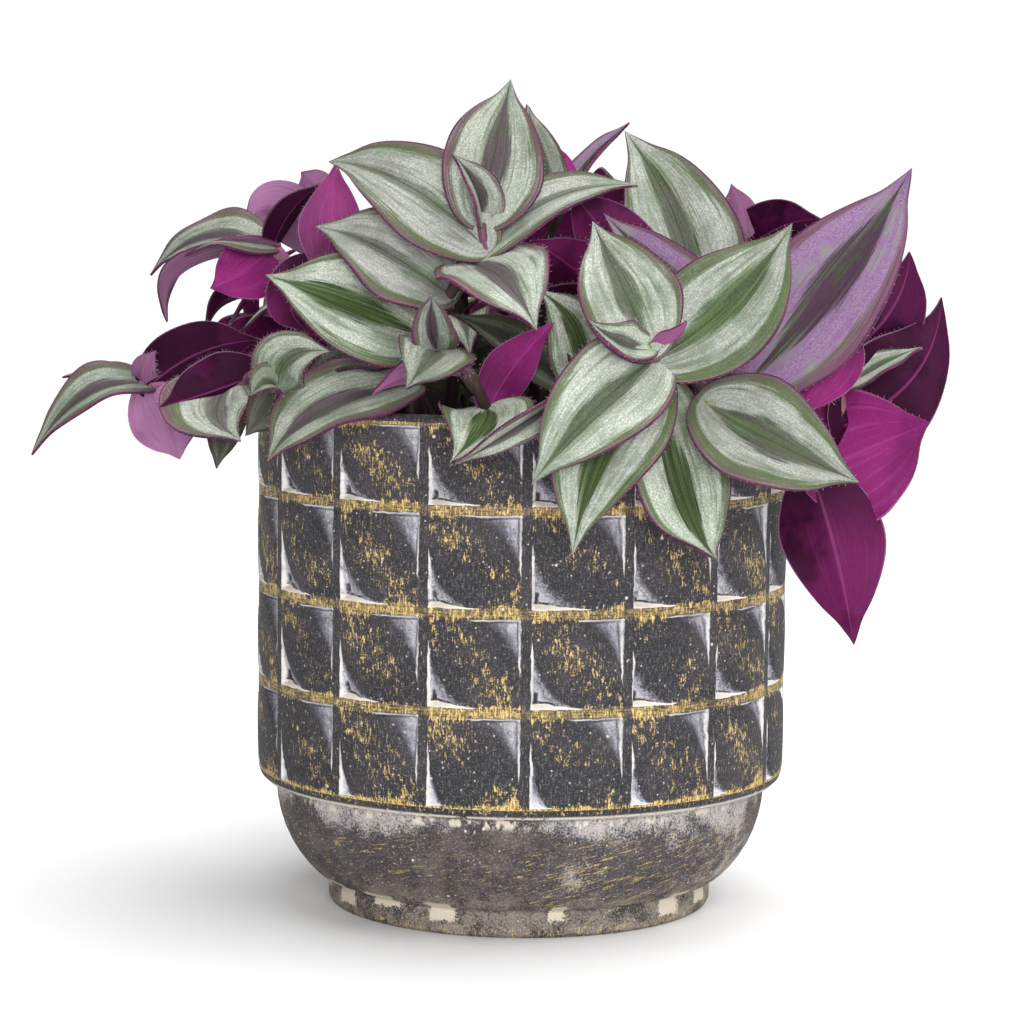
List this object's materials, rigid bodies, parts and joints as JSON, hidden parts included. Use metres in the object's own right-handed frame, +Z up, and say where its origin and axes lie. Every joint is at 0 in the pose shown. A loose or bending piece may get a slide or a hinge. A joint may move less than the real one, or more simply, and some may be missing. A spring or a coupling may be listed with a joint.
{
  "type": "potted tradescantia",
  "caption": "Trailing house plant with striped, pointed leaves on leaning stems, in a round ceramic pot with pillow-like relief squares, filled with soil.",
  "frame": {"origin": "centre of the pot's flat underside, on the surface that it stands on", "axes": "+Z up along the pot's axis, -Y towards the side of the plant that the picture shows, +X to the right in that view"},
  "size_m": [0.2364, 0.1957, 0.216],
  "materials": {
    "pot_glaze": "dark, dry-brushed with gold and silver on the relief",
    "potting_soil": "rough, crumbly",
    "leaf": "satin, silver and green stripes above, magenta below"
  },
  "bodies": {
    "root": {"pot": "pot_glaze", "soil": "potting_soil", "leafy_stem_front_right": "leaf", "leafy_stem_right_low": "leaf", "leafy_stem_right_drape": "leaf", "leafy_stem_centre_right": "leaf", "leafy_stem_centre_top": "leaf", "leafy_stem_centre_small": "leaf", "leafy_stem_centre_mid": "leaf", "leafy_stem_left_front": "leaf", "leafy_stem_left_small": "leaf", "leafy_stem_left_mid": "leaf", "leafy_stem_left_trailing": "leaf", "leafy_stem_left_upper": "leaf", "leafy_stem_left_inner": "leaf", "leafy_stem_left_back": "leaf", "leafy_stem_centre_back": "leaf", "leafy_stem_right_back": "leaf", "leafy_stem_back_right": "leaf", "leafy_stem_back_left": "leaf", "leafy_stem_back": "leaf", "leafy_stem_side_right": "leaf", "leafy_stem_side_left": "leaf", "leafy_stem_top_right": "leaf", "leafy_stem_top_left": "leaf", "leafy_stem_middle_right": "leaf", "leafy_stem_middle_left": "leaf"}
  },
  "joints": []
}
